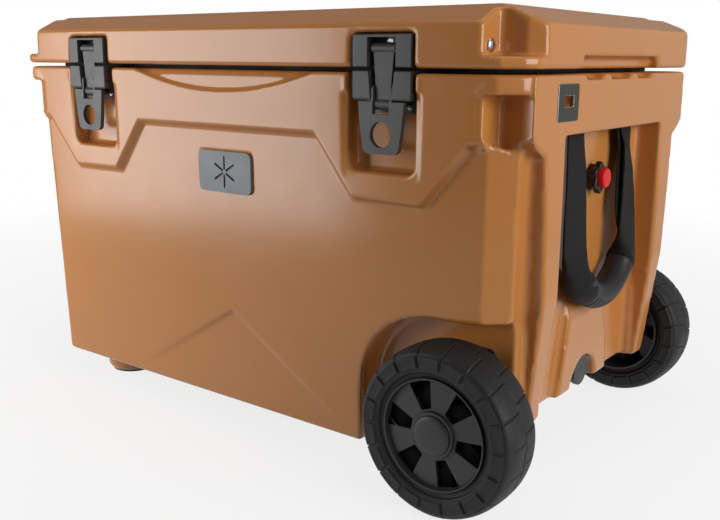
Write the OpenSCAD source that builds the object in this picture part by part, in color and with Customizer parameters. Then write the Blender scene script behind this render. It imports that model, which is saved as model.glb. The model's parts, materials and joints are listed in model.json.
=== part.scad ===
// Wheeled, insulated, rotationally moulded cooler with two toggle latches,
// a webbing carry handle at the wheel end and a fold-out tow handle at the
// foot end.  Millimetres, +Z up.  The front face (latches) looks along -Y,
// the wheel end along +X.  The origin is on the ground, in the middle of
// the overall box.

/* [Body] */
// Length over the two end bands
body_len = 796; // [788:1:804]
// Width over the rim collar
body_w = 476; // [472:1:480]
// Height of the rim above the ground
rim_z = 451; // [449:1:453]
// Height of the rim collar
collar_h = 19; // [17:1:21]
// Height of the underside at the foot end
under_z = 34; // [32:1:36]
// Height of the raised underside at the wheel end
under_wheel_z = 82; // [80:1:84]
// Depth that the upper front stands proud of the lower front panel
step_d = 8; // [6:1:9]
// Thickness of the moulded skin
skin_t = 4; // [3.5:0.5:5]

/* [Cavity] */
// Half the inside width of the food compartment
cav_hy = 178; // [172:1:180]
// Foot end wall of the food compartment
cav_x0 = -326; // [-328:1:-318]
// Wheel end wall of the food compartment
cav_x1 = 308; // [300:1:310]
// Floor of the food compartment
cav_z = 94; // [93:1:97]

/* [Lid] */
// Gap between the rim and the lid
lid_gap = 5; // [5:0.5:6]
// How far the lid stands out past the rim
lid_over = 2; // [1:0.5:3]
// Top of the lid above the ground
lid_top_z = 518; // [516:1:522]
// Height where the bevel round the top starts
lid_bevel_z = 499; // [497:1:500]
// Width of the bevel round the top
lid_bevel_w = 35; // [32:1:38]

/* [Wheels] */
// Outer radius of the tyre
wheel_r = 92; // [91:0.5:92]
// Width of the tyre
wheel_w = 65; // [60:1:66]
// Outer face of the wheel from the middle of the body
wheel_y = 271; // [269:1:272]
// Axle position along the body
axle_x = 329; // [327:1:331]
// Radius of the axle bolts
axle_r = 6; // [5.5:0.5:6.5]

/* [Latches] */
// Distance of each latch from the middle
latch_x = 241.5; // [240:0.5:243]
// Width of a latch
latch_w = 72; // [70:1:74]
// Front face of the closed latch
latch_y = -241; // [-242:0.5:-240]

/* [Handles] */
// Width of the carry handle's webbing
web_w = 50; // [44:1:50]
// Distance of each webbing leg from the middle
web_y = 71; // [68:1:72]
// Radius of the carry grip
grip_r = 16.5; // [15:0.5:17]
// Radius of the tow handle's tube
tow_r = 10; // [9:0.5:10]

/* [Hidden] */
$fn = 96;
body_col = "#c08752";
dark_col = "#4a4c50";
black_col = "#1d1c1c";
steel_col = "#b9bcc0";
hl = body_len/2;
hw = body_w/2;
col_z = rim_z - collar_h;
lid_z = rim_z + lid_gap;
// shift that puts the middle of the overall box on the origin
x_shift = (hl + lid_over - axle_x - wheel_r)/2;
wall_hx = hl - 15;
wall_hx_low = hl - 24;
floor_x = hl - 31;
front_y = -(hw - 3);
panel_y = front_y + step_d - 1;
low_y = -(hw - 20);
hinge_y = hw + 11;
hinge_z = rim_z + 1;
// the latch parts are drawn with their front at lf and moved in by latch_in
lf = -246;
latch_in = latch_y - lf;
pocket_y = front_y + 14 + latch_in;
pivot_y = -240;
pivot_z = 434;
link_y = -238;
link_z = 419.5;
tbar_z = 475.4;
drain_z = 97;
valve_z = 333;
web_x = hl - 19;
// the handle hangs a little outwards from its slots
web_tilt = 3;
web_top = 387.2;
tow_x = -(hl - 14);
tow_z = 350;
tow_y = 116;

module place() translate([x_shift, 0, 0]) children();
module both_y() { children(); mirror([0, 1, 0]) children(); }
module both_x() { children(); mirror([1, 0, 0]) children(); }
module four() both_x() both_y() children();
// extrusion of an XZ outline along Y from y0 to y1
module along_y(y0, y1) translate([0, y1, 0]) rotate([90, 0, 0]) linear_extrude(y1 - y0) children();
// extrusion of a YZ outline along X from x0 to x1
module along_x(x0, x1) translate([x0, 0, 0]) rotate([90, 0, 90]) linear_extrude(x1 - x0) children();
module block(x0, x1, y0, y1, z0, z1) translate([x0, y0, z0]) cube([x1 - x0, y1 - y0, z1 - z0]);
module rod_x(x0, x1, y, z, r) translate([x0, y, z]) rotate([0, 90, 0]) cylinder(h = x1 - x0, r = r);
module rod_y(x, y0, y1, z, r) translate([x, y1, z]) rotate([90, 0, 0]) cylinder(h = y1 - y0, r = r);
// rounded rectangle, centred
module rrect(w, h, r) {
    square([w - 2*r, h], center = true);
    square([w, h - 2*r], center = true);
    for (i = [-1, 1], j = [-1, 1]) translate([i*(w/2 - r), j*(h/2 - r)]) circle(r);
}

// ---- outlines -------------------------------------------------------------
function rim_pts(o) = let(h = hl + o, w = hw + o)
    [[h - 27, w], [h - 7, w - 20], [h, w - 34], [h, 34 - w], [h - 7, 20 - w], [h - 27, -w],
     [27 - h, -w], [7 - h, 20 - w], [-h, 34 - w], [-h, w - 34], [7 - h, w - 20], [27 - h, w]];
function wall_pts(h, yf, yr, c) =
    [[h - c, yr], [h, yr - c], [h, yf + c], [h - c, yf], [c - h, yf], [-h, yf + c], [-h, yr - c], [c - h, yr]];
// upper front zone, grown by e towards the lower panel
function step_half(e) = [[hl - 38, col_z + 1], [hl - 38, 386 - e], [340 + 0.434*e, 386 - e],
    [284 + 0.434*e, 321 - e], [199 - 0.483*e, 322 - e], [148 - 0.483*e, 387.5 - e]];
function step_pts(e) = concat(step_half(e), [for (i = [5:-1:0]) [-step_half(e)[i][0], step_half(e)[i][1]]]);
// wheel arch outline
arch_pts = [[201.5, 10], [202.5, 91], [205, 127], [211.5, 146], [223, 165], [240, 181], [257, 190], [273, 195.2],
    [291, 198], [331, 199.5], [359, 201.5], [hl + 12, 203], [hl + 12, 10]];

// ---- body -----------------------------------------------------------------
module end_frame(zb) {
    // raised band and the two posts of one end
    intersection() {
        along_y(-hw, hw) polygon([[wall_hx - 25, rim_z - 1], [hl, rim_z - 1], [hl, 400], [hl + 1.9, 300], [hl + 1.9, 222], [hl - 13 + (82 - zb)*-0.1, zb],
            [wall_hx - 25, zb]]);
        along_x(wall_hx - 30, hl + 5) difference() {
            polygon([[-210, rim_z - 1], [-210, 390], [-201, 381], [-182, 371], [-173, 222], [-167, zb],
                [167, zb], [173, 222], [182, 371], [201, 381], [210, 390], [210, rim_z - 1]]);
            translate([0, zb/2 + 194]) square([274, 392 - zb], center = true);
        }
    }
}
module corner_pocket() {
    // tie-down pocket under the collar at the corner (+X, -Y)
    intersection() {
        translate([0, 0, 300]) linear_extrude(col_z - 300)
            polygon([[hl - 42, -199], [hl + 0.5, -210.2], [hl + 20, -210.2], [hl + 20, -260], [hl - 42, -260]]);
        along_x(hl - 60, hl + 30) polygon([[-260, 398.5], [-236, 391], [-188, 372], [-188, 460], [-260, 460]]);
    }
}
module foam_zones(g) {
    // insulation space between the outer skin and the food compartment
    yi = cav_hy + skin_t + g;
    yo = 209 - g;
    difference() {
        union() {
            block(-346 + g, 350 - g, -yo, -yi, 100 + g, 424 - g);
            block(-346 + g, 350 - g, yi, yo, 100 + g, 424 - g);
            block(-361 + g, cav_x0 - skin_t - g, -184, 184, 64 + g, 424 - g);
            block(cav_x1 + skin_t + g, 361 - g, -172, 172, 132 + g, 424 - g);
            block(-361 + g, 186 - g, -yo + 2, yo - 2, under_z + skin_t + g, cav_z - skin_t - g);
            both_y() block(212 + g, cav_x1 + 20, 154 + g, 184 - g, 100 + g, 232 - g);
        }
        // wheel wells, tie-down pockets, latch screws
        both_y() difference() {
            block(194 - g, 420, 184 - g, 260, 20, 212 + g);
            block(187, 421, 150, 184 - g, 10, 230);
        }
        // sleeves round the air valve and the axle bolts
        rod_x(290, 380, 0, valve_z, 14 + g);
        both_y() rod_y(axle_x, -200, -150, wheel_r, axle_r + 5 + g);
    }
}
module cavity() {
    difference() {
        block(cav_x0, cav_x1, -cav_hy, cav_hy, cav_z, rim_z + 5);
        // inner bulges over the wheel wells
        both_y() block(208, cav_x1 + 5, 150, cav_hy + 5, cav_z - 5, 236);
    }
}
module body_shell() place() color(body_col) {
    difference() {
        union() {
            hull() {
                translate([0, 0, col_z - 0.1]) linear_extrude(0.1) polygon(wall_pts(wall_hx, panel_y, hw - 2, 24));
                translate([0, 0, under_z]) linear_extrude(0.1) polygon(wall_pts(wall_hx_low, low_y, hw - 8, 24));
            }
            translate([0, 0, col_z - 0.05]) linear_extrude(collar_h + 0.05) polygon(rim_pts(0));
            // upper front zone in two steps
            intersection() {
                union() {
                    along_y(front_y, -200) polygon(step_pts(0));
                    along_y(front_y + 4, -200) polygon(step_pts(6));
                }
                translate([0, 0, 300]) linear_extrude(200) polygon(wall_pts(wall_hx, front_y, hw, 24));
            }
            // thicker wall beside the wheel wells
            both_y() intersection() {
                translate([0, 0, 60]) linear_extrude(380) polygon([[355, -150], [379, -150], [379, -190], [370, -199], [355, -199]]);
                along_y(-210, -140) polygon([[355, under_wheel_z], [379, under_wheel_z], [379, 186], [374.5, 222], [374, 429], [355, 429]]);
            }
            end_frame(under_wheel_z);
            mirror([1, 0, 0]) end_frame(60);
            // body halves of the two lid hinges
            for (s = [-1, 1], d = [-46, 46]) hinge_lug_body(s*230 + d, 24);
        }
        cavity();
        foam_zones(0);
        // raised underside at the wheel end
        along_y(-260, 260) polygon([[206, 20], [206, under_z], [250, under_wheel_z], [hl + 9, under_wheel_z], [hl + 9, 20]]);
        // wheel wells
        both_y() along_y(-260, -188) polygon(arch_pts);
        // handle recess, wheel end, round the lower centre panel
        difference() {
            block(floor_x, hl + 20, -137, 137, 70, 390);
            along_x(floor_x - 5, hl + 5) polygon([[-46, 199], [46, 199], [60, 130], [76, 60], [-76, 60], [-60, 130]]);
        }
        along_y(-140, 140) polygon([[floor_x, 199], [floor_x + 8, 172], [hl - 21.4, 70], [hl + 20, 70], [hl + 20, 199]]);
        // handle recess, foot end
        block(-hl - 20, -floor_x, -137, 137, 62, 390);
        four() corner_pocket();
        // latch pockets
        for (s = [-1, 1]) along_y(-260, pocket_y) translate([s*(latch_x - 3.5), 0]) {
            translate([0, 349 + 60]) rrect(84, 120, 9);
            translate([0, 440]) square([84, 40], center = true);
        }
        // shallow arch below the front of the lid
        intersection() {
            rod_y(0, -260, front_y + 4, rim_z - 24 + 468, 468);
            block(-160, 160, -260, -200, 400, rim_z + 1);
        }
        // shallow folded triangle low on the front
        intersection() {
            along_y(-250, -200) polygon([[0, 156], [205, 32], [-205, 32]]);
            along_x(-220, 220) polygon([[-250, 32], [low_y - 0.2, 32], [-214.5, 158], [-250, 160]]);
        }
        // notches in the rim at the wheel end
        for (y = [-71, 0, 71]) block(hl - 14, hl + 5, y - (y == 0 ? 29 : 22), y + (y == 0 ? 29 : 22), rim_z - 6, rim_z + 1);
        // seat and pocket of the opener plate
        block(hl - 2, hl + 1, -160.8, -112.2, 403.8, 442.2);
        block(hl - 16, hl, -146.5, -123.5, 418, 431.5);
        // seat of the badge
        block(-45, 45, -250, panel_y + 3.4, 304, 356);
        for (s = [-1, 1]) rod_y(s*30, -240, -218.8, 330, 2.05);
        // drain tunnel and bore
        along_x(352, hl + 5) union() {
            translate([0, 82]) intersection() { circle(35); translate([-50, 0]) square([100, 50]); }
            translate([-35, 60]) square([70, 22.5]);
        }
        rod_x(cav_x1 - 5, 360, 0, drain_z, 11.3);
        block(cav_x1 - 60, cav_x1, -30, 30, cav_z - 9.5, cav_z + 1);
        // slots and pins that hold the tops of the webbing
        both_y() block(web_x - 5, web_x + 5, web_y - 27, web_y + 27, 385, 412);
        both_y() rod_y(web_x, web_y - 33, web_y + 33, 402, 3.05);
        // air valve bore
        rod_x(cav_x1 - 5, 380, 0, valve_z, 9.3);
        // axle bolt bores
        both_y() rod_y(axle_x, -200, -160, wheel_r, axle_r + 0.3);
        // filling port for the insulation
        translate([-100, 0, 20]) cylinder(h = 30, r = 12);
        // screw holes: feet, latch bases
        both_y() translate([-290, -150, 20]) cylinder(h = 17, r = 2.6);
        for (s = [-1, 1], d = [-22, 22]) rod_y(s*latch_x + d, -230, pocket_y + 5.4, 418, 2.1);
        // bores of the hinge rods
        for (s = [-1, 1]) rod_x(s*230 - 62, s*230 + 62, hinge_y, hinge_z, 4.05);
    }
}
module hinge_lug_body(x, w) difference() {
    union() {
        rod_x(x - w/2, x + w/2, hinge_y, hinge_z, 8);
        along_x(x - w/2, x + w/2) polygon([[hw - 8, rim_z - 1], [hinge_y, rim_z - 1], [hinge_y + 7.6, rim_z - 1.5], [hinge_y + 4, rim_z - 8],
            [hw - 8, rim_z - 26]]);
    }
    block(x - w, x + w, hw - 30, hw - 6, 400, 500);
}
module body_foam() place() color("#e9dfb0") difference() {
    foam_zones(0.1);
    translate([-100, 0, 20]) cylinder(h = 20.1, r = 12.2);
}
module body_foam_plug() place() color(black_col) translate([-100, 0, 0]) {
    translate([0, 0, under_z - 2.2]) cylinder(h = 2, r = 15);
    translate([0, 0, under_z - 0.3]) cylinder(h = 4.3, r = 11.9);
}
module gasket() place() color("#2a2a2c") translate([0, 0, rim_z + 0.4]) linear_extrude(lid_gap - 0.42) difference() {
    square([2*(hl - 48), 2*(hw - 40)], center = true);
    square([2*(hl - 58), 2*(hw - 50)], center = true);
}

// ---- feet -----------------------------------------------------------------
module feet() place() color(body_col) both_y() translate([-290, -150, 0]) difference() {
    rotate_extrude() polygon([[0, 3], [33, 3], [37, 9], [39, under_z - 0.1], [0, under_z - 0.1]]);
    translate([0, 0, -1]) cylinder(h = 50, r = 2.7);
    translate([0, 0, -1]) cylinder(h = 17, r = 6);
}
module foot_pads() place() color(black_col) both_y() translate([-290, -150, 0]) difference() {
    cylinder(h = 2.95, r = 31);
    translate([0, 0, -1]) cylinder(h = 6, r = 8);
}
module foot_screws() place() color(steel_col) both_y() translate([-290, -150, 0]) {
    translate([0, 0, 12.5]) cylinder(h = 3.4, r = 5);
    translate([0, 0, 15]) cylinder(h = 21, r = 2.5);
}

// ---- plates ---------------------------------------------------------------
module opener_plate() place() color(steel_col) along_x(hl - 1.9, hl + 0.4) translate([-136.5, 423]) difference() {
    rrect(48, 38, 4);
    translate([1.5, 1.6]) square([20, 10.6], center = true);
}
module front_badge() place() color("#7c8791") {
    along_y(panel_y - 0.2, panel_y + 3.3) translate([0, 330]) difference() {
        rrect(88, 50, 8);
        // plain six-armed ice crystal, cut through
        for (a = [0:60:300]) rotate(a + 30) {
            translate([11, 0]) square([16, 2.6], center = true);
        }
    }
}
module badge_pins() place() color(steel_col) for (s = [-1, 1]) rod_y(s*30, panel_y + 3.35, -219, 330, 2);

// ---- latches --------------------------------------------------------------
module latch_base(s) translate([s*latch_x, latch_in, 0]) color(dark_col) difference() {
    union() {
        block(-latch_w/2, latch_w/2, -226, pocket_y - latch_in - 0.1, 410, 452.5);
        intersection() {
            along_y(lf, -225) for (k = [-1, 1]) polygon(k > 0 ?
                [[13.4, 423.7], [latch_w/2 - 1, 423.7], [latch_w/2, 425.7], [latch_w/2, 453], [16.4, 453]] :
                [[-13.4, 423.7], [-16.4, 453], [-latch_w/2, 453], [-latch_w/2, 425.7], [1 - latch_w/2, 423.7]]);
            along_x(-50, 50) polygon([[-220, 423.7], [lf + 1.2, 423.7], [lf, 425.7], [lf, 452], [lf + 1, 453], [-220, 453]]);
        }
    }
    rod_x(-40, 40, pivot_y, pivot_z, 2.52);
    for (d = [-22, 22]) rod_y(d, -240, -210, 418, 2.6);
    for (d = [-22, 22]) rod_y(d, -227, -223.6, 418, 4.2);
}
module latch_base_left() place() latch_base(-1);
module latch_base_right() place() latch_base(1);
module latch_base_screws() place() color(steel_col) for (s = [-1, 1], d = [-22, 22]) {
    rod_y(s*latch_x + d, -225.9 + latch_in, -223.7 + latch_in, 418, 4);
    rod_y(s*latch_x + d, -224 + latch_in, pocket_y + 5, 418, 2);
}
module latch_pins() place() color(steel_col) for (s = [-1, 1], k = [-1, 1])
    rod_x(s*latch_x + k*21.7 - 11.3, s*latch_x + k*21.7 + 11.3, pivot_y + latch_in, pivot_z, 2.5);
module latch_lever(s) translate([s*latch_x, latch_in, 0]) color(dark_col) difference() {
    union() {
        // finger plate with a ring
        along_y(lf, lf + 5.5) difference() {
            union() {
                polygon([[-28.8, 422], [-25.5, 392], [-23, 377], [23, 377], [25.5, 392], [28.8, 422]]);
                translate([-15, 377]) circle(8);
                translate([15, 377]) circle(8);
                translate([-15, 369]) square([30, 10]);
            }
            translate([0, 388.7]) circle(13.3);
            translate([-10.4, 409.5]) square([20.8, 20]);
        }
        // ears to the pivot
        for (k = [-1, 1]) along_x(k*11.7 - 1.25, k*11.7 + 1.25) union() {
            polygon([[-235, 415], [-244.9, 412], [-244.9, pivot_z], [-235.1, pivot_z]]);
            translate([pivot_y, pivot_z]) circle(4.9);
        }
    }
    rod_x(-20, 20, pivot_y, pivot_z, 2.55);
    rod_x(-20, 20, link_y, link_z, 2);
}
module latch_lever_left() place() latch_lever(-1);
module latch_lever_right() place() latch_lever(1);
module link_pin(s) rod_x(s*latch_x - 12.9, s*latch_x + 12.9, link_y + latch_in, link_z, 2);
module link_pin_left() place() color(steel_col) link_pin(-1);
module link_pin_right() place() color(steel_col) link_pin(1);
module latch_link(s) translate([s*latch_x, latch_in, 0]) color(dark_col) difference() {
    union() {
        along_y(lf + 4.5, link_y + 0.5) polygon([[-9.2, link_z], [9.2, link_z], [9.4, 427], [9.9, 440], [12.5, 469], [12.5, tbar_z],
            [-12.5, tbar_z], [-12.5, 469], [-9.9, 440], [-9.4, 427]]);
        rod_x(-9.6, 9.6, link_y, link_z, 6);
        rod_x(-14.8, 14.8, lf + 8.2, tbar_z, 5.5);
    }
    rod_x(-20, 20, link_y, link_z, 2.05);
}
module latch_link_left() place() latch_link(-1);
module latch_link_right() place() latch_link(1);
module keeper(s) translate([s*latch_x, latch_in, 0]) color(dark_col) difference() {
    along_x(-latch_w/2, latch_w/2) polygon([[-226.1, 456.5], [lf + 1, 456.5], [lf, 457.5], [lf, 488], [lf + 1, 489], [-226.1, 489]]);
    block(-17.8, 17.8, -260, -230.5, 450, 486);
    for (z = [463, 481]) rod_y(0, -240, -220, z, 2.1);
    for (z = [463, 481]) rod_y(0, -232, -228.4, z, 4.2);
}
module keeper_left() place() keeper(-1);
module keeper_right() place() keeper(1);
module keeper_screws() place() color(steel_col) for (s = [-1, 1], z = [463, 481]) {
    rod_y(s*latch_x, -230.4 + latch_in, -228.5 + latch_in, z, 4);
    rod_y(s*latch_x, -229 + latch_in, -219.5 + latch_in, z, 2);
}

// ---- lid ------------------------------------------------------------------
lhl = hl + lid_over;
lhw = hw + lid_over;
lid_strip_z = lid_top_z - 3.5;
function lid_profile(h) = [[-h, lid_z], [1.5 - h, lid_bevel_z], [lid_bevel_w - 2 - h, lid_strip_z], [lid_bevel_w + 10 - h, lid_strip_z],
    [lid_bevel_w + 15 - h, lid_top_z], [h - lid_bevel_w - 15, lid_top_z], [h - lid_bevel_w - 10, lid_strip_z],
    [h - lid_bevel_w + 2, lid_strip_z], [h - 1.5, lid_bevel_z], [h, lid_z]];
module lid_outer() intersection() {
    translate([0, 0, lid_z]) linear_extrude(lid_top_z - lid_z) polygon(rim_pts(lid_over));
    along_y(-300, 300) polygon(lid_profile(lhl));
    along_x(-450, 450) polygon(lid_profile(lhw));
}
module lid_notch() translate([0, 0, lid_z + 12]) linear_extrude(100)
    polygon([[hl - 43, -260], [hl - 43, -203], [hl - 15, -202], [hl + 3, -189.5], [hl + 20, -189.5], [hl + 20, -260]]);
module lid_foam_zone(g) {
    block(-hl + 62 + g, hl - 62 - g, -hw + 34 + g, hw - 34 - g, lid_z + 7 + g, lid_top_z - 10 - g);
    block(cav_x0 + 12 + g, cav_x1 - 12 - g, -cav_hy + 12 + g, cav_hy - 12 - g, lid_z - 14 + g, lid_z + 10);
}
module lid_shell() place() color(body_col) difference() {
    union() {
        lid_outer();
        // plug that reaches into the food compartment
        block(cav_x0 + 5, cav_x1 - 5, -cav_hy + 5, cav_hy - 5, lid_z - 19, lid_z + 1);
        // lid halves of the two hinges
        for (s = [-1, 1]) {
            rod_x(s*230 - 33, s*230 + 33, hinge_y, hinge_z, 8);
            along_x(s*230 - 33, s*230 + 33) polygon([[lhw - 8, lid_z + 0.5], [hinge_y - 7, lid_z + 0.5], [hinge_y - 7.6, hinge_z + 2], [hinge_y + 7.9, hinge_z + 1],
                [hinge_y + 6, lid_z + 7], [lhw - 4, lid_z + 20]]);
        }
    }
    lid_foam_zone(0);
    both_x() lid_notch();
    // recesses for the keepers
    for (s = [-1, 1]) block(s*(latch_x - 1.5) - 38.5, s*(latch_x - 1.5) + 38.5, -260, -226 + latch_in, lid_z - 10, lid_z + 35);
    // finger recesses at the ends
    both_x() block(hl - 12, hl + 20, -107, 107, lid_z - 1, lid_z + 12.5);
    // screw holes of the keepers, port, hinge bore
    for (s = [-1, 1], z = [463, 481]) rod_y(s*latch_x, -230 + latch_in, -219 + latch_in, z, 2.1);
    translate([0, 0, lid_z - 30]) cylinder(h = 20, r = 12);
    for (s = [-1, 1]) rod_x(s*230 - 62, s*230 + 62, hinge_y, hinge_z, 4.06);
    both_x() rod_x(hl - 57, hl - 35, -222, lid_z + 22, 2.55);
}
module lid_foam() place() color("#e9dfb0") difference() {
    lid_foam_zone(0.1);
    translate([0, 0, lid_z - 30]) cylinder(h = 17.2, r = 12.2);
}
module lid_foam_plug() place() color(black_col) {
    translate([0, 0, lid_z - 21.2]) cylinder(h = 2, r = 15);
    translate([0, 0, lid_z - 19.3]) cylinder(h = 4.8, r = 11.9);
}
module lid_corner_studs() place() color(steel_col) both_x() {
    rod_x(hl - 53, hl - 42, -222, lid_z + 22, 2.5);
    translate([hl - 42.95, -222, lid_z + 22]) rotate([0, 90, 0]) rotate_extrude()
        polygon([[0, 0], [6.8, 0], [6.8, 0.8], [6.2, 1.8], [4.8, 2.8], [2.6, 3.4], [0, 3.5]]);
}
module hinge_rods() place() color(steel_col) for (s = [-1, 1]) rod_x(s*230 - 59, s*230 + 59, hinge_y, hinge_z, 4);
module hinge_rod_caps() place() color(black_col) for (s = [-1, 1], k = [-1, 1]) rod_x(s*230 + k*60.6 - 1.4, s*230 + k*60.6 + 1.4, hinge_y, hinge_z, 5.5);

// ---- wheels (front wheel is at -Y) ------------------------------------------
module at_wheel() translate([axle_x, -wheel_y, wheel_r]) rotate([-90, 0, 0]) children();
module tyre() color(black_col) at_wheel() difference() {
    rotate_extrude($fn = 144) polygon([[60.1, 5], [62.5, 2.4], [68, 0.8], [76, 0], [83, 1.6], [89, 7], [91.4, 13], [wheel_r, 20], [wheel_r, wheel_w - 20],
        [91.4, wheel_w - 13], [89, wheel_w - 7], [83, wheel_w - 1.6], [76, wheel_w], [68, wheel_w - 0.8], [62.5, wheel_w - 2.4], [60.1, wheel_w - 5]]);
    for (a = [3:20:343]) rotate([0, 0, a]) translate([wheel_r - 4, -2, -1]) cube([10, 4, 18]);
    for (a = [13:20:353]) rotate([0, 0, a]) translate([wheel_r - 4, -2, wheel_w - 17]) cube([10, 4, 18]);
    for (a = [8:20:348]) rotate([0, 0, a]) translate([wheel_r - 3.5, -1.5, 24]) cube([10, 3, wheel_w - 48]);
}
module rim() color("#37383a") at_wheel() difference() {
    rotate_extrude($fn = 144) polygon([[13, 5], [24.5, 5], [25.5, 8], [57, 9.5], [58.4, 4.5], [60, 4.5], [60, wheel_w - 3], [57.6, wheel_w - 3],
        [56, 24], [26, 20], [20, 22], [20, wheel_w - 4], [8.05, wheel_w - 4], [8.05, 12], [13, 12]]);
    for (a = [10.3:60:320]) rotate([0, 0, a]) translate([0, 0, 2]) linear_extrude(30)
        polygon([[27, -6.2], [55.4, -13.3], [56.8, 0], [55.4, 13.3], [27, 6.2]]);
}
module bush() color("#d8d4c8") at_wheel() translate([0, 0, 12.1]) difference() {
    cylinder(h = wheel_w - 16.2, r = 8);
    translate([0, 0, -1]) cylinder(h = wheel_w, r = axle_r + 0.05);
}
module hub_cap() color("#2c2d2f") at_wheel() difference() {
    union() {
        rotate_extrude() polygon([[0, 1], [17.6, 1], [21, 3.2], [21.6, 4.9], [0, 4.9]]);
        rotate_extrude() polygon([[11.6, 4.5], [12.9, 4.5], [12.9, 9.5], [11.6, 9.5]]);
    }
}
module tyre_front() place() tyre();
module rim_front() place() rim();
module bush_front() place() bush();
module hub_cap_front() place() hub_cap();
module tyre_rear() place() mirror([0, 1, 0]) tyre();
module rim_rear() place() mirror([0, 1, 0]) rim();
module bush_rear() place() mirror([0, 1, 0]) bush();
module hub_cap_rear() place() mirror([0, 1, 0]) hub_cap();
// fixed parts of the axles
module axle_bolts() place() color(steel_col) both_y() {
    rod_y(axle_x, -wheel_y + 7.5, -165, wheel_r, axle_r);
}
module axle_nuts() place() color(steel_col) both_y() difference() {
    translate([axle_x, -wheel_y + 11.6, wheel_r]) rotate([90, 0, 0]) cylinder(h = 3.4, r = 10.4);
    rod_y(axle_x, -wheel_y, -wheel_y + 20, wheel_r, axle_r + 0.02);
}
module axle_washers() place() color(steel_col) both_y() difference() {
    rod_y(axle_x, -wheel_y + wheel_w - 3.6, -192.3, wheel_r, 12);
    rod_y(axle_x, -260, -180, wheel_r, axle_r + 0.02);
}
module axle_plates() place() color(steel_col) both_y() difference() {
    along_y(-192.1, -188.05) translate([axle_x, wheel_r + 35]) rrect(60, 86, 10);
    rod_y(axle_x, -260, -180, wheel_r, axle_r + 0.02);
    for (i = [-1, 1], z = [6, 66]) rod_y(axle_x + i*21, -200, -180, wheel_r + z, 2.6);
}
module axle_plate_screws() place() color(steel_col) both_y() for (i = [-1, 1], z = [6, 66]) {
    rod_y(axle_x + i*21, -194.6, -192.15, wheel_r + z, 4.6);
    rod_y(axle_x + i*21, -193, -188.1, wheel_r + z, 2.5);
}

// ---- drain ----------------------------------------------------------------
module drain_fitting() place() color(black_col) difference() {
    union() {
        rod_x(353.6, 357, 0, drain_z, 19);
        rod_x(cav_x1 - 2.5, 366, 0, drain_z, 11);
    }
    rod_x(290, 380, 0, drain_z, 8);
}
module drain_seal() place() color("#333333") difference() {
    rod_x(352.05, 353.55, 0, drain_z, 17);
    rod_x(290, 380, 0, drain_z, 11.1);
}
module drain_nut() place() color(black_col) difference() {
    rod_x(cav_x1 - 3.4, cav_x1 - 0.1, 0, drain_z, 12.3);
    rod_x(290, 380, 0, drain_z, 11.05);
}
module drain_cap() place() color(black_col) difference() {
    union() {
        rod_x(358, 368, 0, drain_z, 15);
        rod_x(366, 371, 0, drain_z, 18);
        for (a = [0:30:330]) translate([358, 0, drain_z]) rotate([a, 0, 0]) translate([0, -2, 14]) cube([10, 4, 2.6]);
    }
    rod_x(355, 367, 0, drain_z, 11.08);
}

// ---- air valve --------------------------------------------------------------
module valve_body() place() color(black_col) difference() {
    union() {
        rod_x(floor_x + 0.1, floor_x + 8, 0, valve_z, 14.5);
        rod_x(floor_x + 7, floor_x + 15, 0, valve_z, 16.5);
        for (a = [0:60:300]) translate([floor_x + 7, 0, valve_z]) rotate([a, 0, 0]) translate([0, 0, 14]) rotate([0, 90, 0]) cylinder(h = 7.2, r = 5);
        rod_x(cav_x1 - 8, floor_x + 1, 0, valve_z, 9);
    }
    rod_x(floor_x - 12, floor_x + 22, 0, valve_z, 11.3 - 4.3);
    rod_x(floor_x + 3, floor_x + 22, 0, valve_z, 11.6);
    rod_x(290, floor_x + 22, 0, valve_z, 3);
}
module valve_button() place() color("#c9252b") union() {
    rod_x(floor_x + 6, floor_x + 22, 0, valve_z, 11.5);
    rod_x(floor_x - 4, floor_x + 7, 0, valve_z, 2.9);
}
module valve_spring() place() color(steel_col) difference() {
    rod_x(floor_x - 11.8, floor_x + 5.9, 0, valve_z, 6.6);
    rod_x(floor_x - 13, floor_x + 8, 0, valve_z, 4.4);
}
module valve_nut() place() color(black_col) difference() {
    translate([cav_x1 - 5.1, 0, valve_z]) rotate([0, 90, 0]) cylinder(h = 5, r = 15, $fn = 6);
    rod_x(290, 330, 0, valve_z, 9.05);
}

// ---- carry handle -----------------------------------------------------------
module hung() translate([web_x, 0, web_top]) rotate([0, -web_tilt, 0]) translate([-web_x, 0, -web_top]) children();
module carry_webbing() place() color(black_col) hung() {
    both_y() along_x(web_x - 1.5, web_x + 1.5) polygon([[web_y - web_w/2, web_top], [web_y + web_w/2, web_top], [web_y + web_w/2, 268],
        [web_y + 8, 236], [web_y - 6, 236], [web_y - web_w/2, 268]]);
    translate([web_x, 0, 268]) rotate([0, 90, 0]) rotate([0, 0, -84]) rotate_extrude(angle = 168) translate([web_y, 0]) circle(7, $fn = 48);
}
module carry_grip() place() color("#2b2c2e") hung() translate([web_x, 0, 268]) rotate([0, 90, 0]) rotate([0, 0, -54])
    rotate_extrude(angle = 108) translate([web_y, 0]) difference() {
        circle(grip_r, $fn = 64);
        circle(7.3, $fn = 48);
    }
module carry_strap_tops() place() color(black_col) both_y() difference() {
    union() {
        block(web_x - 1.5, web_x + 1.5, web_y - web_w/2, web_y + web_w/2, 390.4, 402);
        rod_y(web_x, web_y - web_w/2, web_y + web_w/2, 402, 4.7);
    }
    rod_y(web_x, web_y - 40, web_y + 40, 402, 3.1);
}
module carry_anchor_pins() place() color(steel_col) both_y() rod_y(web_x, web_y - 32, web_y + 32, 402, 3);

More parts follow.
